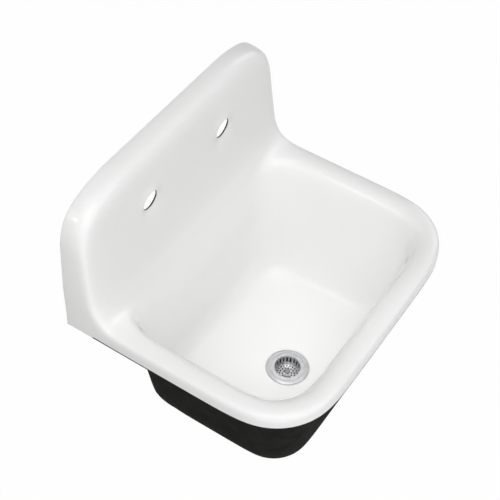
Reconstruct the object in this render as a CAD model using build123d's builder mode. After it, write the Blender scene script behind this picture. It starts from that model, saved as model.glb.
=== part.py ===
# A wall-hung cast-iron sink with a splash back and a basket strainer, in millimetres.
# The origin is on the wall, on the sink's centre line, level with the top of the rim.
# +X runs to the right as one faces the wall, +Y runs into the wall and +Z runs up.
import os
from math import radians, tan

from build123d import *

os.makedirs("parts", exist_ok=True)

# Casting: outside sizes, the width and depth at the rim's lower edge
sink_width = 546.0
sink_depth = 440.0
splash_height = 238.0
splash_top_depth = 40.0
splash_foot_depth = 56.0
splash_corner_radius = 75.0
rim_drop = 26.0
rim_corner_radius = 115.0
edge_radius = 14.0
cove_radius = 10.0
draft_angle = 1.9
casting_wall = 7.0

# Casting: basin, measured where the walls would meet the rim's top and the floor
deck_width = 44.0
basin_back = 74.0
basin_depth = 250.0
floor_half_width = 188.0
floor_back = 94.0
floor_front = 374.0
basin_back_corner = 40.0
floor_front_corner = 60.0
floor_back_corner = 45.0
floor_fillet = 30.0
rim_roll = 10.0

# Casting: faucet holes, bearing web and hanging lugs
faucet_spacing = 203.2
faucet_height = 144.0
faucet_hole_radius = 18.0
web_above_rim = 4.0
lug_spacing = 300.0
lug_width = 44.0
lug_thickness = 8.0
lug_height = 28.0

# Wall hangers
hanger_width = 50.0
hanger_thickness = 4.0
hanger_lip = 14.0
hanger_tail = 96.0
hanger_corner_radius = 8.0
hanger_hole_drop = 28.0
hanger_hole_pitch = 45.0
hanger_hole_radius = 4.5
hanger_clearance = 0.3

# Drain in the floor
drain_from_wall = 264.0
drain_hole_clearance = 1.75
drain_recess_depth = 3.0
drain_recess_clearance = 0.9
drain_boss_height = 6.0
drain_boss_margin = 8.0

# Strainer body
shank_radius = 30.0
flange_width = 8.1
flange_thickness = 2.5
flange_bevel_width = 3.0
flange_bevel_height = 1.0
flange_land = 7.0
flange_seal_thickness = 1.0
flange_seal_margin = 1.5
bowl_wall = 3.5
bowl_floor_thickness = 3.0
seat_ledge = 5.0
outlet_wall = 3.8
outlet_length = 20.0

# Clamping stack under the floor
stack_width = 14.0
stack_clearance = 0.2
under_gasket_thickness = 4.0
friction_ring_thickness = 1.5
lock_nut_height = 10.0
lock_nut_rim = 8.0
lock_nut_lug_count = 6
lock_nut_lug_width = 12.0

# Tailpiece and its coupling
tailpiece_radius = 19.05
tailpiece_wall = 0.9
tailpiece_length = 101.6
tailpiece_flange_width = 4.75
tailpiece_flange_thickness = 1.6
tailpiece_washer_thickness = 2.0
coupling_engagement = 10.0
coupling_lip = 3.5
coupling_wall = 4.0
coupling_lip_clearance = 0.8
coupling_side_count = 8

# Basket
basket_gap = 0.3
basket_sheet = 1.0
basket_lip_clearance = 0.6
basket_side_gap = 1.5
basket_taper = 2.4
basket_depth = 24.0
slot_count = 22
slot_width = 3.0
slot_height = 12.0
slot_drop = 4.0
perforation_radius = 1.7
perforation_first_ring = 8.4
perforation_margin = 2.6
perforation_first_count = 10
perforation_step_count = 6
perforation_ring_count = 3

# Stopper on its post
post_radius = 3.0
post_running_clearance = 0.06
post_tip = 1.0
bushing_collar = 2.5
bushing_lip = 1.0
knob_radius = 5.0
knob_height = 5.5
knob_edge = 1.6
stopper_travel = 6.0
stopper_overlap = 5.5
stopper_thickness = 4.0
stopper_edge = 1.5
stopper_plate_radius = 10.0
stopper_plate_thickness = 1.0
stopper_nut_radius = 5.2
stopper_nut_height = 3.0
stopper_nut_side_count = 6

# How far a trimmed or cutting shape runs past a face, and how closely a level is matched
cut_overrun = 10.0
level_tolerance = 0.01

# Radii of the drain set, each led from the shank or from the tailpiece
flange_radius = shank_radius + flange_width
drain_hole_radius = shank_radius + drain_hole_clearance
boss_radius = flange_radius + drain_boss_margin
stack_bore = shank_radius + stack_clearance
stack_outer_radius = shank_radius + stack_width
bowl_radius = shank_radius - bowl_wall
lip_seat_radius = flange_radius - flange_land
basket_lip_radius = lip_seat_radius - basket_lip_clearance
basket_top_radius = bowl_radius - basket_side_gap
basket_floor_radius = basket_top_radius - basket_taper
tailpiece_bore = tailpiece_radius - tailpiece_wall
outlet_radius = tailpiece_radius + tailpiece_flange_width
outlet_bore = outlet_radius - outlet_wall
seat_hole_radius = outlet_bore - seat_ledge
stopper_radius = seat_hole_radius + stopper_overlap

half_width = sink_width / 2
draft = tan(radians(draft_angle))
rim_half_opening = half_width - deck_width
rim_front = sink_depth - deck_width
basin_front_corner = rim_corner_radius - deck_width


def splash_face(height):
    # The splash leans: its front stands further from the wall at the rim than at the top.
    lean = (splash_foot_depth - splash_top_depth) / splash_height
    return -(splash_foot_depth - lean * height)


def basin_outline(depth, wall):
    # Plan of the basin at a depth below the rim, inside faces for no wall and outside faces with one.
    share = depth / basin_depth
    half = rim_half_opening + (floor_half_width - rim_half_opening) * share + wall
    back = -(basin_back + (floor_back - basin_back) * share - wall)
    front = -(rim_front + (floor_front - rim_front) * share + wall)
    back_corner = basin_back_corner + (floor_back_corner - basin_back_corner) * share + wall
    front_corner = basin_front_corner + (floor_front_corner - basin_front_corner) * share + wall
    corners = ((-half, back), (-half, front), (half, front), (half, back))
    roundings = (back_corner, front_corner, front_corner, back_corner)
    with BuildSketch(Plane.XY.offset(-depth)) as outline:
        with BuildLine():
            FilletPolyline(*corners, radius=roundings, close=True)
        make_face()
    return outline.sketch


def rim_outline(inset):
    # Plan of the rim's lower edge, rounded at the two front corners and run past the wall at the back.
    side = half_width - inset
    front = -(sink_depth - inset)
    with BuildSketch(Plane.XY.offset(-rim_drop)) as outline:
        with BuildLine():
            edge = FilletPolyline(
                (-side, cut_overrun),
                (-side, front),
                (side, front),
                (side, cut_overrun),
                radius=rim_corner_radius - inset,
            )
            Line(edge @ 1, edge @ 0)
        make_face()
    return outline.sketch


def splash_outline(inset, bottom):
    # Front view of the splash: its ends carry on the draft of the rim's sides.
    top = splash_height - inset
    foot = half_width - inset - draft * (bottom + rim_drop)
    head = half_width - inset - draft * (top + rim_drop)
    with BuildSketch(Plane.XZ) as outline:
        with BuildLine():
            edge = FilletPolyline(
                (-foot, bottom),
                (-head, top),
                (head, top),
                (foot, bottom),
                radius=splash_corner_radius - inset,
            )
            Line(edge @ 1, edge @ 0)
        make_face()
    return outline.sketch


def splash_profile(inset, bottom):
    # Side view of the splash, from the wall to its leaning front.
    top = splash_height - inset
    with BuildSketch(Plane.YZ.offset(-half_width)) as outline:
        with BuildLine():
            Polyline(
                (0, bottom),
                (0, top),
                (splash_face(top) + inset, top),
                (splash_face(bottom) + inset, bottom),
                close=True,
            )
        make_face()
    return outline.sketch


# Hollow behind the splash, open to the wall
with BuildPart() as splash_core:
    extrude(splash_outline(casting_wall, web_above_rim), amount=splash_foot_depth)
    extrude(splash_profile(casting_wall, web_above_rim), amount=sink_width, mode=Mode.INTERSECT)
    top_front_edge = splash_core.edges().filter_by(Axis.X).group_by(Axis.Z)[-1].sort_by(Axis.Y)[0]
    fillet(top_front_edge, edge_radius - casting_wall)

# Hollow under the rim
with BuildPart() as rim_core:
    extrude(rim_outline(casting_wall), amount=rim_drop - casting_wall, taper=draft_angle)
    top_front_edge = rim_core.edges().filter_by(Axis.X).group_by(Axis.Z)[-1].sort_by(Axis.Y)[0]
    fillet(top_front_edge, edge_radius - casting_wall)

# Outside of the basin
with BuildPart() as basin_outside:
    outer_depth = basin_depth + casting_wall
    loft([basin_outline(0, casting_wall), basin_outline(outer_depth, casting_wall)], ruled=True)
    fillet(basin_outside.edges().group_by(Axis.Z)[0], floor_fillet + casting_wall)

# Inside of the basin
with BuildPart() as basin_inside:
    loft([basin_outline(0, 0), basin_outline(basin_depth, 0)], ruled=True)
    fillet(basin_inside.edges().group_by(Axis.Z)[0], floor_fillet)

# Splash as a full block
with BuildPart() as splash_block:
    extrude(splash_outline(0, -rim_drop), amount=splash_foot_depth + cut_overrun)
    extrude(splash_profile(0, -rim_drop), amount=sink_width, mode=Mode.INTERSECT)

# Sink casting: splash, rim and basin in one piece
with BuildPart() as sink_casting:
    extrude(rim_outline(0), amount=rim_drop, taper=draft_angle)
    split(bisect_by=Plane.XZ)
    add(splash_block.part)
    cross_edges = sink_casting.edges().filter_by(Axis.X)
    level_edges = cross_edges.filter_by_position(Axis.Z, -level_tolerance, level_tolerance)
    fillet(level_edges.sort_by(Axis.Y)[-1], cove_radius)
    cross_edges = sink_casting.edges().filter_by(Axis.X)
    level_edges = cross_edges.filter_by_position(Axis.Z, -level_tolerance, level_tolerance)
    fillet(level_edges.sort_by(Axis.Y)[0], edge_radius)
    add(splash_core.part, mode=Mode.SUBTRACT)
    add(rim_core.part, mode=Mode.SUBTRACT)
    add(basin_outside.part)
    boss_height = casting_wall + drain_boss_height
    with Locations((0, -drain_from_wall, -basin_depth)):
        Cylinder(boss_radius, boss_height, align=(Align.CENTER, Align.CENTER, Align.MAX))
    add(basin_inside.part, mode=Mode.SUBTRACT)
    flat_faces = sink_casting.faces().filter_by(Plane.XY)
    deck = flat_faces.filter_by_position(Axis.Z, -level_tolerance, level_tolerance).sort_by(SortBy.AREA)[-1]
    fillet(deck.inner_wires()[0].edges(), rim_roll)
    with Locations((0, -drain_from_wall, -basin_depth)):
        CounterBoreHole(
            drain_hole_radius,
            flange_radius + drain_recess_clearance,
            drain_recess_depth,
            depth=boss_height,
        )
    with BuildSketch(Plane.XZ):
        with GridLocations(faucet_spacing, 0, 2, 1):
            with Locations((0, faucet_height)):
                Circle(faucet_hole_radius)
    extrude(amount=splash_foot_depth, mode=Mode.SUBTRACT)
    lug_back = -(hanger_thickness + hanger_clearance)
    with GridLocations(lug_spacing, 0, 2, 1):
        with Locations((0, lug_back, splash_height - casting_wall / 2)):
            Box(
                lug_width,
                lug_thickness,
                lug_height + casting_wall / 2,
                align=(Align.CENTER, Align.MAX, Align.MAX),
            )

sink_casting.part.label = "sink_casting"
export_step(sink_casting.part, "parts/sink_casting.step")

# Wall hangers: a plate with a trough that takes the casting's lug
lug_bottom = splash_height - casting_wall - lug_height
trough_front = lug_back - lug_thickness - hanger_clearance
for side, sign in (("left", -1), ("right", 1)):
    with BuildPart() as hanger:
        with BuildSketch(Plane.YZ.offset(sign * lug_spacing / 2 - hanger_width / 2)):
            with BuildLine():
                Polyline(
                    (0, lug_bottom - hanger_tail),
                    (0, lug_bottom + hanger_lip),
                    (-hanger_thickness, lug_bottom + hanger_lip),
                    (-hanger_thickness, lug_bottom),
                    (trough_front, lug_bottom),
                    (trough_front, lug_bottom + hanger_lip),
                    (trough_front - hanger_thickness, lug_bottom + hanger_lip),
                    (trough_front - hanger_thickness, lug_bottom - hanger_thickness),
                    (-hanger_thickness, lug_bottom - hanger_thickness),
                    (-hanger_thickness, lug_bottom - hanger_tail),
                    close=True,
                )
            make_face()
        extrude(amount=hanger_width)
        bend = hanger.edges().filter_by(Axis.X).group_by(Axis.Y)[0].sort_by(Axis.Z)[0]
        fillet(bend, hanger_thickness)
        plate_corners = hanger.edges().filter_by(Axis.Y).group_by(Axis.Z)[0]
        fillet(plate_corners, hanger_corner_radius)
        with BuildSketch(Plane.XZ):
            hole_top = lug_bottom - hanger_hole_drop
            with Locations(
                (sign * lug_spacing / 2, hole_top),
                (sign * lug_spacing / 2, hole_top - hanger_hole_pitch),
            ):
                Circle(hanger_hole_radius)
        extrude(amount=hanger_thickness, mode=Mode.SUBTRACT)
    hanger.part.label = f"{side}_wall_hanger"
    export_step(hanger.part, f"parts/{side}_wall_hanger.step")

# Drain set: levels, all on the drain's axis
drain_axis = Axis((0, -drain_from_wall, 0), (0, 0, 1))
drain_plane = Plane((0, -drain_from_wall, 0), x_dir=(1, 0, 0), z_dir=(0, -1, 0))
recess_floor = -basin_depth - drain_recess_depth
flange_bottom = recess_floor + flange_seal_thickness
flange_top = flange_bottom + flange_thickness
step_level = flange_top - basket_sheet - basket_gap
basket_lip_bottom = step_level + basket_gap
basket_floor_bottom = basket_lip_bottom + basket_sheet - basket_depth
basket_floor_top = basket_floor_bottom + basket_sheet
stopper_top = basket_floor_bottom - bushing_lip - basket_gap
stopper_bottom = stopper_top - stopper_thickness
seat_level = stopper_bottom - stopper_travel - basket_gap
bowl_bottom = seat_level - bowl_floor_thickness
outlet_end = bowl_bottom - outlet_length
floor_bottom = -basin_depth - casting_wall - drain_boss_height


def drain_ring(inner, outer, bottom, top):
    # A plain ring about the drain's axis.
    with BuildPart() as ring:
        with BuildSketch(Plane.XY.offset(bottom)):
            with Locations((0, -drain_from_wall)):
                Circle(outer)
                Circle(inner, mode=Mode.SUBTRACT)
        extrude(amount=top - bottom)
    return ring


# Strainer body: flange, bowl and outlet
with BuildPart() as strainer_body:
    with BuildSketch(drain_plane):
        with BuildLine():
            Polyline(
                (flange_radius, flange_bottom),
                (flange_radius, flange_top - flange_bevel_height),
                (flange_radius - flange_bevel_width, flange_top),
                (lip_seat_radius, flange_top),
                (lip_seat_radius, step_level),
                (bowl_radius, step_level),
                (bowl_radius, seat_level),
                (seat_hole_radius, seat_level),
                (seat_hole_radius, bowl_bottom),
                (outlet_bore, bowl_bottom),
                (outlet_bore, outlet_end),
                (outlet_radius, outlet_end),
                (outlet_radius, bowl_bottom),
                (shank_radius, bowl_bottom),
                (shank_radius, flange_bottom),
                close=True,
            )
        make_face()
    revolve(axis=drain_axis)
strainer_body.part.label = "strainer_body"
export_step(strainer_body.part, "parts/strainer_body.step")

# Seal under the flange, and the stack that clamps the body from below
flange_seal = drain_ring(drain_hole_radius, flange_radius - flange_seal_margin, recess_floor, flange_bottom)
flange_seal.part.label = "flange_seal"
export_step(flange_seal.part, "parts/flange_seal.step")

gasket_bottom = floor_bottom - under_gasket_thickness
under_gasket = drain_ring(stack_bore, stack_outer_radius, gasket_bottom, floor_bottom)
under_gasket.part.label = "under_gasket"
export_step(under_gasket.part, "parts/under_gasket.step")

friction_bottom = gasket_bottom - friction_ring_thickness
friction_ring = drain_ring(stack_bore, stack_outer_radius, friction_bottom, gasket_bottom)
friction_ring.part.label = "friction_ring"
export_step(friction_ring.part, "parts/friction_ring.step")

# Lock nut: a round nut with lugs for a spud wrench
with BuildPart() as lock_nut:
    with BuildSketch(Plane.XY.offset(friction_bottom - lock_nut_height)):
        with Locations((0, -drain_from_wall)):
            Circle(shank_radius + lock_nut_rim)
            with PolarLocations(shank_radius + lock_nut_rim / 2, lock_nut_lug_count):
                lug_reach = stack_width - lock_nut_rim / 2
                Rectangle(lug_reach, lock_nut_lug_width, align=(Align.MIN, Align.CENTER))
            Circle(stack_bore, mode=Mode.SUBTRACT)
    extrude(amount=lock_nut_height)
lock_nut.part.label = "lock_nut"
export_step(lock_nut.part, "parts/lock_nut.step")

# Tailpiece with its washer and coupling nut
washer_bottom = outlet_end - tailpiece_washer_thickness
tailpiece_washer = drain_ring(tailpiece_bore, outlet_radius, washer_bottom, outlet_end)
tailpiece_washer.part.label = "tailpiece_washer"
export_step(tailpiece_washer.part, "parts/tailpiece_washer.step")

tailpiece_flange_bottom = washer_bottom - tailpiece_flange_thickness
tailpiece_end = washer_bottom - tailpiece_length
with BuildPart() as tailpiece:
    with BuildSketch(drain_plane):
        with BuildLine():
            Polyline(
                (tailpiece_bore, washer_bottom),
                (outlet_radius, washer_bottom),
                (outlet_radius, tailpiece_flange_bottom),
                (tailpiece_radius, tailpiece_flange_bottom),
                (tailpiece_radius, tailpiece_end),
                (tailpiece_bore, tailpiece_end),
                close=True,
            )
        make_face()
    revolve(axis=drain_axis)
tailpiece.part.label = "tailpiece"
export_step(tailpiece.part, "parts/tailpiece.step")

coupling_bore = outlet_radius + stack_clearance
coupling_top = outlet_end + coupling_engagement
coupling_bottom = tailpiece_flange_bottom - coupling_lip
with BuildPart() as coupling_nut:
    with BuildSketch(Plane.XY.offset(coupling_bottom)):
        with Locations((0, -drain_from_wall)):
            RegularPolygon(coupling_bore + coupling_wall, coupling_side_count, major_radius=False)
    extrude(amount=coupling_top - coupling_bottom)
    with Locations((0, -drain_from_wall, coupling_top)):
        CounterBoreHole(
            tailpiece_radius + coupling_lip_clearance,
            coupling_bore,
            coupling_top - tailpiece_flange_bottom,
            depth=coupling_top - coupling_bottom,
        )
coupling_nut.part.label = "coupling_nut"
export_step(coupling_nut.part, "parts/coupling_nut.step")

# Basket cup: a drawn cup with slots round its side and a perforated floor
bushing_bore = post_radius + post_running_clearance
bushing_radius = post_radius + bushing_collar
with BuildPart() as basket_cup:
    lip_top = basket_lip_bottom + basket_sheet
    with BuildSketch(drain_plane):
        with BuildLine():
            Polyline(
                (basket_lip_radius, basket_lip_bottom),
                (basket_lip_radius, lip_top),
                (basket_top_radius - basket_sheet, lip_top),
                (basket_floor_radius - basket_sheet, basket_floor_top),
                (bushing_radius, basket_floor_top),
                (bushing_radius, basket_floor_bottom),
                (basket_floor_radius, basket_floor_bottom),
                (basket_top_radius, basket_lip_bottom),
                close=True,
            )
        make_face()
    revolve(axis=drain_axis)
    slot_top = lip_top - slot_drop
    with BuildSketch(Plane.XY.offset(slot_top - slot_height)):
        with Locations((0, -drain_from_wall)):
            with PolarLocations(basket_floor_radius, slot_count):
                Rectangle(cut_overrun, slot_width)
    extrude(amount=slot_height, mode=Mode.SUBTRACT)
    last_ring = basket_floor_radius - basket_sheet - perforation_margin
    ring_pitch = (last_ring - perforation_first_ring) / (perforation_ring_count - 1)
    with BuildSketch(Plane.XY.offset(basket_floor_bottom)):
        with Locations((0, -drain_from_wall)):
            for ring in range(perforation_ring_count):
                ring_radius = perforation_first_ring + ring * ring_pitch
                ring_count = perforation_first_count + ring * perforation_step_count
                with PolarLocations(ring_radius, ring_count):
                    Circle(perforation_radius)
    extrude(amount=basket_sheet, mode=Mode.SUBTRACT)
basket_cup.part.label = "basket_cup"
export_step(basket_cup.part, "parts/basket_cup.step")

# Bush in the middle of the basket floor, with a lip below
with BuildPart() as post_bushing:
    with BuildSketch(drain_plane):
        with BuildLine():
            Polyline(
                (bushing_bore, basket_floor_bottom - bushing_lip),
                (bushing_radius + bushing_lip, basket_floor_bottom - bushing_lip),
                (bushing_radius + bushing_lip, basket_floor_bottom),
                (bushing_radius, basket_floor_bottom),
                (bushing_radius, basket_floor_top),
                (bushing_bore, basket_floor_top),
                close=True,
            )
        make_face()
    revolve(axis=drain_axis)
post_bushing.part.label = "post_bushing"
export_step(post_bushing.part, "parts/post_bushing.step")

# Post with the knob above the basket floor and the stopper below it, shown pulled up
knob_bottom = basket_floor_top + basket_gap + stopper_travel
knob_top = knob_bottom + knob_height
plate_bottom = stopper_bottom - stopper_plate_thickness
nut_bottom = plate_bottom - stopper_nut_height
with BuildPart() as basket_post:
    with BuildSketch(Plane.XY.offset(nut_bottom - post_tip)):
        with Locations((0, -drain_from_wall)):
            Circle(post_radius)
    extrude(amount=knob_bottom - nut_bottom + post_tip)
basket_post.part.label = "basket_post"
export_step(basket_post.part, "parts/basket_post.step")

with BuildPart() as basket_knob:
    with BuildSketch(Plane.XY.offset(knob_bottom)):
        with Locations((0, -drain_from_wall)):
            Circle(knob_radius)
    extrude(amount=knob_height)
    fillet(basket_knob.edges(), knob_edge)
basket_knob.part.label = "basket_knob"
export_step(basket_knob.part, "parts/basket_knob.step")

stopper_disc = drain_ring(post_radius, stopper_radius, stopper_bottom, stopper_top)
with stopper_disc:
    chamfer(stopper_disc.edges().group_by(Axis.Z)[0].sort_by(SortBy.LENGTH)[-1], stopper_edge)
stopper_disc.part.label = "stopper_disc"
export_step(stopper_disc.part, "parts/stopper_disc.step")

stopper_plate = drain_ring(post_radius, stopper_plate_radius, plate_bottom, stopper_bottom)
stopper_plate.part.label = "stopper_plate"
export_step(stopper_plate.part, "parts/stopper_plate.step")

with BuildPart() as stopper_nut:
    with BuildSketch(Plane.XY.offset(nut_bottom)):
        with Locations((0, -drain_from_wall)):
            RegularPolygon(stopper_nut_radius, stopper_nut_side_count, major_radius=False)
            Circle(post_radius, mode=Mode.SUBTRACT)
    extrude(amount=stopper_nut_height)
stopper_nut.part.label = "stopper_nut"
export_step(stopper_nut.part, "parts/stopper_nut.step")
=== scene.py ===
import math

import bmesh
import bpy
from mathutils import Matrix, Vector


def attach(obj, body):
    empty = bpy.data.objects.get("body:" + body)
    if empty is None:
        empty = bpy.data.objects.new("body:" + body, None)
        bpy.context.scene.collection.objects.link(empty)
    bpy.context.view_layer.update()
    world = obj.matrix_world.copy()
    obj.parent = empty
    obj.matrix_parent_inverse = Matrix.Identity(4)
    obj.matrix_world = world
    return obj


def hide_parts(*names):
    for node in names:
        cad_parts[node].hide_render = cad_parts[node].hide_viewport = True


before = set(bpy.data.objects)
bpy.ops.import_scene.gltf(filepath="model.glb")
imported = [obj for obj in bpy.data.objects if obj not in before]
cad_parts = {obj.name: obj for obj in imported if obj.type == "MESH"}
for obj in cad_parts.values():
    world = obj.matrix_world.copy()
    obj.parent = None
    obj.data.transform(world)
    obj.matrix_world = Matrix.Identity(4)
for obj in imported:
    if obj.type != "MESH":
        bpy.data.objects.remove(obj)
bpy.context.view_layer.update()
mm = 0.001
drainFromWall = 264 * mm
print("frame loaded:", len(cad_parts), "nodes")


# Small helpers

def newPiece(name, bm, body, slotName, *nodes):
    mesh = bpy.data.meshes.new(name)
    bm.to_mesh(mesh)
    bm.free()
    mesh.shade_smooth()
    piece = bpy.data.objects.new(name, mesh)
    bpy.context.scene.collection.objects.link(piece)
    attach(piece, body)
    if nodes:
        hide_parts(*nodes)
    return piece


def edgesOf(verts):
    inside = set(verts)
    return list({e for v in verts for e in v.link_edges if e.other_vert(v) in inside})


def grownFrom(bm, edges):
    # pulls a new row of vertices out of the edges, and pairs each with the one it came from
    roots = {v for e in edges for v in e.verts}
    pulled = bmesh.ops.extrude_edge_only(bm, edges=edges)["geom"]
    made = [g for g in pulled if isinstance(g, bmesh.types.BMVert)]
    return {v: next(e.other_vert(v) for e in v.link_edges if e.other_vert(v) in roots) for v in made}


# Finishes: a wire is one output socket, and sums and products of wires add their own Math nodes

class Wire:
    def __init__(self, paint, socket):
        self.paint = paint
        self.socket = socket

    def maths(self, operation, first, second):
        return self.paint.node("Math", {"operation": operation}, {0: first, 1: second})

    def __add__(self, other):
        return self.maths("ADD", self, other)

    def __mul__(self, other):
        return self.maths("MULTIPLY", self, other)

    __radd__ = __add__
    __rmul__ = __mul__


class Paint:
    def __init__(self, owner):
        self.owner = owner
        owner.use_nodes = True
        self.tree = owner.node_tree
        self.tree.nodes.clear()

    def node(self, kind, settings, sockets, out=0):
        made = self.tree.nodes.new("ShaderNode" + kind)
        for key, value in settings.items():
            if key == "stops":
                ramp = made.color_ramp
                for stop, (spot, colour) in zip((ramp.elements[0], ramp.elements[1]), value):
                    stop.position = spot
                    stop.color = (*colour, 1)
            else:
                setattr(made, key, value)
        for key, value in sockets.items():
            if isinstance(value, Wire):
                self.tree.links.new(value.socket, made.inputs[key])
            else:
                made.inputs[key].default_value = value
        return Wire(self, made.outputs[out]) if out is not None else made

    def place(self):
        return self.node("TexCoord", {}, {}, "Object")

    def grain(self, scale, detail):
        return self.node("TexNoise", {}, {"Vector": self.place(), "Scale": scale, "Detail": detail})

    def between(self, share, first, second):
        return self.node("ValToRGB", {"stops": ((0.35, first), (0.65, second))}, {"Fac": share})

    def mixed(self, share, first, second):
        return self.node("Mix", {"data_type": "RGBA"}, {"Factor": share, 6: first, 7: (*second, 1)}, 2)

    def height(self):
        return self.node("SeparateXYZ", {}, {0: self.place()}, "Z")

    def turnedLines(self, scale):
        # fine rings about the drain's own axis
        where = self.node("Mapping", {}, {"Vector": self.place(), "Location": (0, drainFromWall, 0)})
        rings = {"wave_type": "RINGS", "rings_direction": "Z"}
        sockets = {"Vector": where, "Scale": scale, "Distortion": 1.5, "Detail": 2}
        return self.node("TexWave", rings, sockets, "Fac")

    def dents(self, height, deep):
        return self.node("Bump", {}, {"Height": height, "Strength": 1, "Distance": deep}, "Normal")

    def finish(self, sockets):
        shader = self.node("BsdfPrincipled", {}, sockets)
        self.node("OutputMaterial", {}, {"Surface": shader}, None)
        return self.owner


def newPaint(name):
    return Paint(bpy.data.materials.new(name))


def whiteEnamel():
    paint = newPaint("whiteEnamel")
    pour = paint.grain(5, 3)          # slow drift of the glaze's thickness
    peel = paint.grain(150, 1)        # orange peel
    colour = paint.between(pour, (0.945, 0.945, 0.938), (0.955, 0.955, 0.950))
    return paint.finish({
        "Base Color": colour,
        "Roughness": 0.06 + 0.06 * peel,
        "Specular IOR Level": 0.35,
        "Normal": paint.dents(peel + 0.6 * paint.grain(38, 1), 0.00012),
    })


def blackIron():
    paint = newPaint("blackIron")
    sand = paint.grain(420, 3)        # grains of the mould
    scale = paint.grain(45, 4)
    colour = paint.between(scale, (0.0170, 0.0180, 0.0160), (0.0230, 0.0240, 0.0218))
    return paint.finish({
        "Base Color": colour,
        "Roughness": 0.55 + 0.2 * sand,
        "Specular IOR Level": 0.006,
        "Normal": paint.dents(sand + 0.7 * scale, 0.00015),
    })


def primerSteel():
    paint = newPaint("primerSteel")
    film = paint.grain(60, 4)
    rub = paint.grain(14, 2)
    return paint.finish({
        "Base Color": paint.between(rub, (0.028, 0.029, 0.031), (0.045, 0.045, 0.047)),
        "Roughness": 0.42 + 0.2 * film,
        "Normal": paint.dents(film, 0.0001),
    })


def drainSteel():
    # lathe lines round the drain, with painted shade that darkens the steel down inside the bowl
    paint = newPaint("drainSteel")
    lines = paint.turnedLines(900)
    smears = paint.grain(90, 3)
    flangeLevel, bowlLevel = -251.5 * mm, -255.5 * mm
    # painted shade: the steel colour goes darker with depth below the flange
    bowlShade = paint.node("MapRange", {}, {"Value": paint.height(), 1: flangeLevel, 2: bowlLevel, 3: 0, 4: 1})
    bright = paint.between(smears, (0.49, 0.49, 0.50), (0.57, 0.57, 0.58))
    return paint.finish({
        # the dark colour here is painted shade inside the bowl
        "Base Color": paint.mixed(bowlShade, bright, (0.11, 0.11, 0.115)),
        "Metallic": 1,
        "Roughness": 0.5 + 0.1 * lines,
        "Normal": paint.dents(lines, 0.00003),
    })


def basketSteel():
    paint = newPaint("basketSteel")
    lines = paint.turnedLines(700)
    smears = paint.grain(120, 3)
    return paint.finish({
        "Base Color": paint.between(smears, (0.58, 0.58, 0.59), (0.69, 0.69, 0.70)),
        "Metallic": 1,
        "Roughness": 0.22 + 0.1 * lines,
        "Normal": paint.dents(lines, 0.00003),
    })


def brightPlate(name, dark, light, dull):
    paint = newPaint(name)
    smears = paint.grain(70, 4)
    return paint.finish({
        "Base Color": paint.between(smears, dark, light),
        "Metallic": 1,
        "Roughness": dull + 0.08 * smears,
        "Normal": paint.dents(paint.grain(260, 1), 0.00001),
    })


def plainBrass():
    paint = newPaint("plainBrass")
    lines = paint.turnedLines(500)
    tarnish = paint.grain(80, 4)
    return paint.finish({
        "Base Color": paint.between(tarnish, (0.36, 0.25, 0.10), (0.62, 0.47, 0.22)),
        "Metallic": 1,
        "Roughness": 0.24 + 0.12 * lines + 0.16 * tarnish,
        "Normal": paint.dents(lines, 0.00005),
    })


def mouldedRubber():
    paint = newPaint("mouldedRubber")
    bloom = paint.grain(130, 4)
    return paint.finish({
        "Base Color": paint.between(bloom, (0.012, 0.012, 0.012), (0.024, 0.024, 0.024)),
        "Roughness": 0.55 + 0.25 * bloom,
        "Normal": paint.dents(paint.grain(900, 2), 0.00004),
    })


def sealingRing():
    paint = newPaint("sealingRing")
    putty = paint.grain(160, 4)
    return paint.finish({
        "Base Color": paint.between(putty, (0.30, 0.27, 0.22), (0.38, 0.35, 0.29)),
        "Roughness": 0.6 + 0.2 * putty,
        "Normal": paint.dents(putty, 0.0001),
    })


def slipPlastic():
    paint = newPaint("slipPlastic")
    flow = paint.grain(110, 3)
    return paint.finish({
        "Base Color": paint.between(flow, (0.68, 0.67, 0.63), (0.74, 0.73, 0.70)),
        "Roughness": 0.36 + 0.14 * flow,
        "Normal": paint.dents(flow, 0.00004),
    })


# Camera, at the photograph's angle

cameraSpec = {
    "place": (-1.12483, -0.85970, 1.52344),
    "turn": (41.071, -1.709, -56.640),
    "lens": 86.33,
}
cameraData = bpy.data.cameras.new("camera")
cameraData.lens = cameraSpec["lens"]
cameraData.sensor_width = 36
camera = bpy.data.objects.new("camera", cameraData)
camera.location = cameraSpec["place"]
camera.rotation_euler = [math.radians(a) for a in cameraSpec["turn"]]
bpy.context.scene.collection.objects.link(camera)
bpy.context.scene.camera = camera


# Sink casting: rings of the rim and basin, bridged, then the splash, its holes and the lip grown from them.
# A ring is half width, back, front, back corner, front corner, level at the sides, level at the back,
# bulge at the back, wall and drop at the front. All lengths here are in mm.

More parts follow.
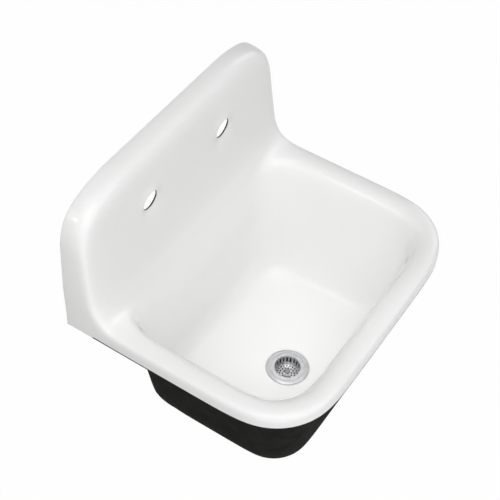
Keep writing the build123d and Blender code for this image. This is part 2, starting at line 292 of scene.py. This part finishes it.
castingSpec = {
    "rings": (
        (269, -60.5, -436, 36, 111, 3, 20, 0, 7, 0),
        (255, -61, -422, 46, 97, 5, 9, 3.5, 7, 0),
        (240, -62, -406, 66, 83, 3, -14, 8, 7, 2.5),
        (230, -68, -395, 66, 78, -7, -36, 8.5, 7, 5),
        (225.5, -74, -391, 64, 78, -26, -62, 8.5, 7, 4),
        (217.5, -82, -389, 62, 76, -75, -95, 4.5, 9, 0),
        (199, -90.5, -380, 60, 66, -185, -185, 0, 10, 0),
        (193.7, -92.4, -377.3, 58, 62, -217, -217, 0, 11, 0),
        (178.4, -103.8, -364.5, 50, 52, -239.7, -239.7, 0, 14.5, 0),
        (150, -136, -338, 34, 36, -250.4, -250.4, 0, 9, 0),
    ),
    "columns": (0.788, 0.546, 0.4216, 0.2971),
    "sides": (0.33, 0.67),
    "fronts": (-0.5, 0, 0.5),
    "drain": ((58, -250.3), (46, -250), (39.9, -250.1), (39.1, -252.4), (38.5, -253), (31.75, -253)),
    "drainDrawnIn": 0.9936,         # share of its radius that a smoothed ring keeps
    "dip": 6,                       # how late round a back corner the rim starts to dip
    "backWall": (0.366, 43),        # wall added at a corner for each mm of radius above this one
    "frontWall": (0.414, 62),
    "frontWallBelow": -20,
    "faceAtHoles": -48.5,
    "faceLean": 0.09,
    "splashRows": (58, 114, 144, 174, 226),
    "splashEnd": (263.5, 258),
    "splashCorner": (244, 212),
    "splashCore": (198, 163),
    "rimCore": (158, -325),
    "splashEdge": {"over": 10.6, "down": 1.8, "under": -1},
    "rimEdge": {"over": 4, "down": 0, "under": -1},
    "rimOver": -5,
    "splashOver": (9, 5),
    "backGap": 1.8,
    "shoulderFrom": (220, -90),
    "splashFrom": 17.9,
    "edgeAbove": -200,
    "cove": (
        ((267.5, -83, 7.5), (272.8, -78, -1), (273, -50, -25.1), (271.8, -50, -26)),
        ((265.5, -70, 17), (272.8, -61, 9), (273, -1.8, -25.1), (271.8, 0, -26)),
        ((264.5, -61.5, 36), (272.8, -50, 31), (273, -1.8, 24), (271.8, 0, 24)),
    ),
    "lipDrop": 26,
    "bareEdge": 0.9,
    "bareBefore": -60,
    "draftBeyond": 150,
    "endDraft": 0.0332,
    "holes": ((21.5, 0), (19.2, 0.35), (18.2, 1.5), (18, 2.8), (18, 5)),
    "holesDrawnIn": 0.9018,
    "holeApart": 101.6,
    "holeHeight": 144,
    "wall": 7,
    "thickest": 20,
}


def cutRun(face, axis, onRun, places):
    # cuts one straight run of an outline at these places along the axis
    for place in places:
        run = next(e for e in face.edges if all(onRun(v.co / mm) for v in e.verts)
                   and (e.verts[0].co[axis] / mm - place) * (e.verts[1].co[axis] / mm - place) < 0)
        first, second = run.verts
        share = (place * mm - first.co[axis]) / (second.co[axis] - first.co[axis])
        bmesh.utils.edge_split(run, first, share)


def cornerWall(radius, share, above):
    return share * max(0, radius - above)


def outlineRing(bm, thickness, ring):
    half, back, front, backCorner, frontCorner, sideLevel, backLevel, bulge, wall, frontDrop = ring
    spots = ((-half, back), (half, back), (half, front), (-half, front))
    corners = [bm.verts.new((x * mm, y * mm, 0)) for x, y in spots]
    bm.faces.new(corners)
    made = None
    for pair, radius, segments in ((corners[:2], backCorner, 3), (corners[2:], frontCorner, 4)):
        made = bmesh.ops.bevel(bm, geom=pair, offset=radius * mm, offset_type="OFFSET", segments=segments,
                               profile=0.5, affect="VERTICES", material=-1)["verts"]
    face = made[0].link_faces[0]
    straight = half - backCorner
    columns = [0] + [s * share * straight for share in castingSpec["columns"] for s in (-1, 1)]
    cutRun(face, 0, lambda p: p.y > back - 0.1, columns)
    fronts = [share * (half - frontCorner) for share in castingSpec["fronts"]]
    cutRun(face, 0, lambda p: p.y < front + 0.1, fronts)
    top = back - backCorner
    bottom = front + frontCorner
    sides = [top + (bottom - top) * share for share in castingSpec["sides"]]
    for side in (-1, 1):
        cutRun(face, 1, lambda p: p.x * side > half - 0.1, sides)
    loop = list(face.verts)
    bmesh.ops.delete(bm, geom=[face], context="FACES_ONLY")
    for v in loop:
        turn = min(1, max(0, (v.co.y / mm - top) / backCorner))
        share = turn ** castingSpec["dip"]
        v.co.y -= bulge * share * mm
        bow = min(1, max(0, (bottom - v.co.y / mm) / frontCorner))
        v.co.z = (sideLevel + (backLevel - sideLevel) * share - frontDrop * bow) * mm
        extra = 0
        if 0.01 < turn < 0.99:
            extra = cornerWall(backCorner, *castingSpec["backWall"])
        elif 0.01 < bow < 0.99 and sideLevel < castingSpec["frontWallBelow"]:
            extra = cornerWall(frontCorner, *castingSpec["frontWall"])
        v[thickness][0] = (wall + extra) / castingSpec["thickest"]
    return loop


def splashFace(z):
    return castingSpec["faceAtHoles"] - castingSpec["faceLean"] * (castingSpec["holeHeight"] - z)


def circleFrom(bm, edges, place, radius, depth):
    # grows a ring out of the edges and sets it on a circle about the place's own axis
    grown = grownFrom(bm, edges)
    home = place.inverted()
    for v, root in grown.items():
        p = home @ root.co
        v.co = place @ Vector((p.x * radius / p.xy.length, p.y * radius / p.xy.length, depth))
    return edgesOf(list(grown))


def buildCasting():
    spec = castingSpec
    bm = bmesh.new()
    sharp = bm.verts.layers.float.new("crease_vert")
    wall = bm.verts.layers.deform.verify()
    loops = [outlineRing(bm, wall, ring) for ring in spec["rings"]]
    drainRadius, drainLevel = spec["drain"][0]
    place = Matrix.Translation((0, -drainFromWall, drainLevel * mm))
    inlet = bmesh.ops.create_circle(bm, segments=len(loops[0]), radius=drainRadius * mm, matrix=place)
    loops.append(inlet["verts"])
    for outer, inner in zip(loops, loops[1:]):
        bmesh.ops.bridge_loops(bm, edges=edgesOf(outer) + edgesOf(inner))
    edge = edgesOf(loops[-1])
    for radius, level in spec["drain"][1:]:
        edge = circleFrom(bm, edge, place, radius * mm / spec["drainDrawnIn"], (level - drainLevel) * mm)

    # splash face, row by row up from the back of the outer ring
    foot = max(v.co.y for v in loops[0])
    row = [e for e in edgesOf(loops[0]) if all(v.co.y > foot - 0.1 * mm for v in e.verts)]
    low, high = spec["splashEnd"]
    topRow = spec["splashRows"][-1]
    for level in spec["splashRows"]:
        grown = list(grownFrom(bm, row))
        ends = (min(grown, key=lambda v: v.co.x), max(grown, key=lambda v: v.co.x))
        for v in grown:
            v.co.y = splashFace(level) * mm
            v.co.z = level * mm
        for v in ends:
            v.co.x = math.copysign((low + (high - low) * level / topRow) * mm, v.co.x)
        row = edgesOf(grown)
    for v in ends:
        across, level = spec["splashCorner"]
        v.co = Vector((math.copysign(across, v.co.x), splashFace(level), level)) * mm

    # edge of the rim and splash: rounded over, down to the lip and back to the wall, and turned under
    chain = [e for e in bm.edges if e.is_boundary and e.verts[0].co.z > spec["edgeAbove"] * mm]
    shoulder = {}
    across, behind = spec["shoulderFrom"]
    for side in (-1, 1):
        bend = [v for v in loops[0] if v.co.x * side > across * mm and v.co.y > behind * mm]
        for v, spots in zip(sorted(bend, key=lambda v: v.co.y), spec["cove"]):
            shoulder[v] = spots
    for v, spots in shoulder.items():
        v.co = Vector((math.copysign(spots[0][0], v.co.x), *spots[0][1:])) * mm
    lipFoot = -spec["lipDrop"]
    rimLevels = {"over": spec["rimOver"], "down": spec["bareEdge"] + lipFoot, "under": lipFoot}
    back, backTall = spec["splashOver"]
    for count, step in enumerate(rimLevels, 1):
        grown = grownFrom(bm, chain)
        for v, root in grown.items():
            x, y, z = root.co / mm
            tall = min(1, max(0, z / topRow))
            if root in shoulder:
                shoulder[v] = shoulder[root]
                at = shoulder[root][count]
                v.co = Vector((math.copysign(at[0], x), *at[1:])) * mm
                v[sharp] = step == "under" and at[2] < 0
            elif z > spec["splashFrom"]:
                half, top = spec["splashCore"]
                away = Vector((x - max(-half, min(half, x)), 0, z - min(top, z))).normalized()
                v.co = (Vector((x, 0, z)) + away * spec["splashEdge"][step]) * mm
                depths = {"over": y + back + backTall * tall, "down": -spec["backGap"], "under": 0}
                v.co.y = depths[step] * mm
            else:
                half, front = spec["rimCore"]
                away = Vector((x - max(-half, min(half, x)), y - max(front, y), 0)).normalized()
                v.co = (Vector((x, y, 0)) + away * spec["rimEdge"][step]) * mm
                v.co.z = rimLevels[step] * mm
        chain = edgesOf(list(grown))
    for e in chain:
        if max(v.co.z for v in e.verts) < 0 and min(v.co.y for v in e.verts) < spec["bareBefore"] * mm:
            e.link_faces[0].material_index = 1     # bare iron along the foot of the lip
    for v in bm.verts:
        if v.co.z > 0 and abs(v.co.x) > spec["draftBeyond"] * mm:
            v.co.x -= math.copysign(spec["endDraft"] * v.co.z, v.co.x)

    # faucet holes, each opened in the middle of four faces
    for side in (-1, 1):
        middle = Vector((side * spec["holeApart"], splashFace(spec["holeHeight"]), spec["holeHeight"])) * mm
        centre = min(bm.verts, key=lambda v: (v.co - middle).length)
        around = list({v for f in centre.link_faces for v in f.verts} - {centre})
        bmesh.ops.delete(bm, geom=[centre], context="VERTS")
        lean = Matrix.Rotation(math.radians(-90) + math.atan(spec["faceLean"]), 4, "X")
        place = Matrix.Translation(middle) @ lean
        edge = edgesOf(around)
        for radius, depth in spec["holes"]:
            edge = circleFrom(bm, edge, place, radius * mm / spec["holesDrawnIn"], depth * mm)
        for e in edge:
            e.link_faces[0].material_index = 1     # black finish on the back ring of the hole
    for v in bm.verts:
        if 0 not in v[wall]:
            v[wall][0] = spec["wall"] / spec["thickest"]
    bmesh.ops.recalc_face_normals(bm, faces=bm.faces)
    return bm


casting = newPiece("casting", buildCasting(), "sink", "enamelled_iron", "sink_casting")
casting.data.materials.append(whiteEnamel())
casting.data.materials.append(blackIron())
smoother = casting.modifiers.new("smooth", "SUBSURF")
smoother.levels = smoother.render_levels = 3
thicker = casting.modifiers.new("wall", "SOLIDIFY")
thicker.thickness = castingSpec["thickest"] * mm
thicker.vertex_group = casting.vertex_groups.new(name="wall").name
thicker.offset = -1
thicker.material_offset = 1
thicker.material_offset_rim = 1
print("casting", len(casting.data.polygons), "faces")


# Iron behind and below: the web that bears on the wall, the gussets that close its ends,
# the two hanging lugs and the boss round the drain hole

ironSpec = {
    "web": ((-267, -61, -7), (267, -0.4, 4), 3),
    "gusset": ((-26, -80, -18), (26, -54, -6.2), 2),
    "gussetApart": 240,
    "lug": ((-22, -16.4, 203), (22, -8.4, 233), 1.6),
    "lugApart": 150,
    "boss": (
        (33, -255), (44.6, -255), (46.1, -256.5), (46.1, -261.6),
        (44.7, -263), (33.2, -263), (31.75, -261.5), (31.75, -256),
    ),
    "bossSteps": 96,
}


def addSlab(bm, low, high, rounding, shift=0):
    low, high = Vector(low) * mm, Vector(high) * mm
    middle = (low + high) / 2 + Vector((shift * mm, 0, 0))
    place = Matrix.Translation(middle) @ Matrix.Diagonal((*(high - low), 1))
    made = bmesh.ops.create_cube(bm, size=1, matrix=place)["verts"]
    bmesh.ops.bevel(bm, geom=edgesOf(made), offset=rounding * mm, offset_type="OFFSET", segments=3,
                    profile=0.5, affect="EDGES", material=-1)


def addTurned(bm, profile, steps):
    # spins a closed profile round the drain's axis
    spots = [bm.verts.new((across * mm, -drainFromWall, level * mm)) for across, level in profile]
    edges = [bm.edges.new(pair) for pair in zip(spots, spots[1:] + spots[:1])]
    bmesh.ops.spin(bm, geom=spots + edges, cent=(0, -drainFromWall, 0), axis=(0, 0, 1),
                   angle=math.tau, steps=steps, use_merge=True)


def buildIron():
    bm = bmesh.new()
    addSlab(bm, *ironSpec["web"])
    for side in (-1, 1):
        addSlab(bm, *ironSpec["gusset"], shift=side * ironSpec["gussetApart"])
        addSlab(bm, *ironSpec["lug"], shift=side * ironSpec["lugApart"])
    addTurned(bm, ironSpec["boss"], ironSpec["bossSteps"])
    bmesh.ops.remove_doubles(bm, verts=bm.verts, dist=1e-6)
    bmesh.ops.recalc_face_normals(bm, faces=bm.faces)
    return bm


iron = newPiece("ironBehind", buildIron(), "sink", "enamelled_iron", "sink_casting")
iron.data.set_sharp_from_angle(angle=math.radians(35))
iron.data.materials.append(casting.data.materials[1])
print("iron behind", len(iron.data.polygons), "faces")


# Finishes of the pieces that keep their own solids

steel, basket = drainSteel(), basketSteel()
plate = brightPlate("pipePlate", (0.44, 0.45, 0.46), (0.52, 0.52, 0.53), 0.12)
knobPlate = brightPlate("knobPlate", (0.26, 0.26, 0.27), (0.33, 0.33, 0.34), 0.2)
brass, rubber, plastic, primer = plainBrass(), mouldedRubber(), slipPlastic(), primerSteel()
nodeFinishes = {
    "left_wall_hanger": primer,
    "right_wall_hanger": primer,
    "strainer_body": steel,
    "basket_cup": basket,
    "basket_knob": knobPlate,
    "basket_post": basket,
    "stopper_plate": basket,
    "post_bushing": basket,
    "stopper_nut": brass,
    "lock_nut": brass,
    "stopper_disc": rubber,
    "under_gasket": rubber,
    "flange_seal": sealingRing(),
    "friction_ring": plastic,
    "tailpiece_washer": plastic,
    "coupling_nut": plate,
    "tailpiece": plate,
}
for name, finish in nodeFinishes.items():
    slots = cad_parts[name].data.materials
    slots.clear()
    slots.append(finish)
print("finishes on", len(nodeFinishes), "nodes")


# Floor, at the height such a sink hangs above it, and the white behind everything

stageSpec = {"floorLevel": -0.85, "floorSize": 12, "white": 0.985}


def buildFloor():
    bm = bmesh.new()
    bmesh.ops.create_grid(bm, x_segments=1, y_segments=1, size=stageSpec["floorSize"],
                          matrix=Matrix.Translation((0, 0, stageSpec["floorLevel"])))
    mesh = bpy.data.meshes.new("floor")
    bm.to_mesh(mesh)
    bm.free()
    floor = bpy.data.objects.new("floor", mesh)
    bpy.context.scene.collection.objects.link(floor)
    return floor


def seenDirectly(paint):
    # 1 for what the camera, a polished surface or a clear one looks at
    kinds = ("Camera", "Glossy", "Transmission")
    seen = [paint.node("LightPath", {}, {}, "Is " + kind + " Ray") for kind in kinds]
    return paint.node("Math", {"operation": "ADD", "use_clamp": True}, {0: seen[0] + seen[1], 1: seen[2]})


floor = buildFloor()
paint = newPaint("paleFloor")
plain = paint.node("BsdfDiffuse", {}, {"Color": (0.8, 0.8, 0.8, 1)})
glow = paint.node("Emission", {}, {"Color": (1, 1, 1, 1), "Strength": 1})
both = paint.node("MixShader", {}, {"Fac": stageSpec["white"] * seenDirectly(paint), 1: plain, 2: glow})
paint.node("OutputMaterial", {}, {"Surface": both}, None)
floor.data.materials.append(paint.owner)
print("floor")


# Light: an even white room, wide boxes round the sink and small ones that put the glints on the glaze

lightSpec = {
    "room": 0.02,
    # name, place and size in metres, watts, spread in degrees
    "boxes": (
        ("key", (-0.8, -0.6, 2.2), 2.0, 16, 180),
        ("nearCamera", (-1.3, -0.95, 1.7), 2.0, 18.5, 180),
        ("front", (0.3, -1.8, 1.2), 1.0, 4.6, 180),
        ("frontLow", (-0.4, -2.2, 0.5), 1.4, 6.7, 180),
        ("frontFar", (-0.6, -3.0, 0.3), 2.2, 6, 180),
        ("right", (2.4, -0.5, 1.4), 1.4, 14, 180),
        ("back", (0.3, 1.2, 1.4), 0.8, 2, 180),
        ("left", (-2.2, -0.3, 0.6), 1.0, 4, 180),
        ("below", (-1.0, -1.0, -0.8), 1.6, 4.5, 180),
        ("backLeft", (-1.5, 0.5, 1.2), 0.8, 3.5, 180),
        ("basin", (0, -0.26, 1.5), 0.2, 0.05, 14),
        ("glintFront", (-0.8, -1.48, 1.08), 0.12, 0.4, 180),
        ("glintRight", (1.85, -0.85, 0.3), 0.12, 0.4, 180),
        ("glintBack", (-1.32, 0.33, 0.96), 0.12, 0.4, 180),
    ),
    "aim": (0, -0.26, -0.1),
}
world = bpy.data.worlds.new("room")
bpy.context.scene.world = world
paint = Paint(world)
room = paint.node("Background", {}, {"Color": (1, 1, 1, 1), "Strength": lightSpec["room"]})
white = paint.node("Background", {}, {"Color": (1, 1, 1, 1), "Strength": 1})
both = paint.node("MixShader", {}, {"Fac": seenDirectly(paint), 1: room, 2: white})
paint.node("OutputWorld", {}, {"Surface": both}, None)
for name, spot, size, power, spread in lightSpec["boxes"]:
    lamp = bpy.data.lights.new(name, "AREA")
    lamp.size = size
    lamp.energy = power
    lamp.spread = math.radians(spread)
    box = bpy.data.objects.new(name, lamp)
    box.location = spot
    box.rotation_euler = (Vector(lightSpec["aim"]) - Vector(spot)).to_track_quat("-Z", "Y").to_euler()
    bpy.context.scene.collection.objects.link(box)
print("lights", len(lightSpec["boxes"]))

bpy.context.scene.view_settings.view_transform = "Standard"
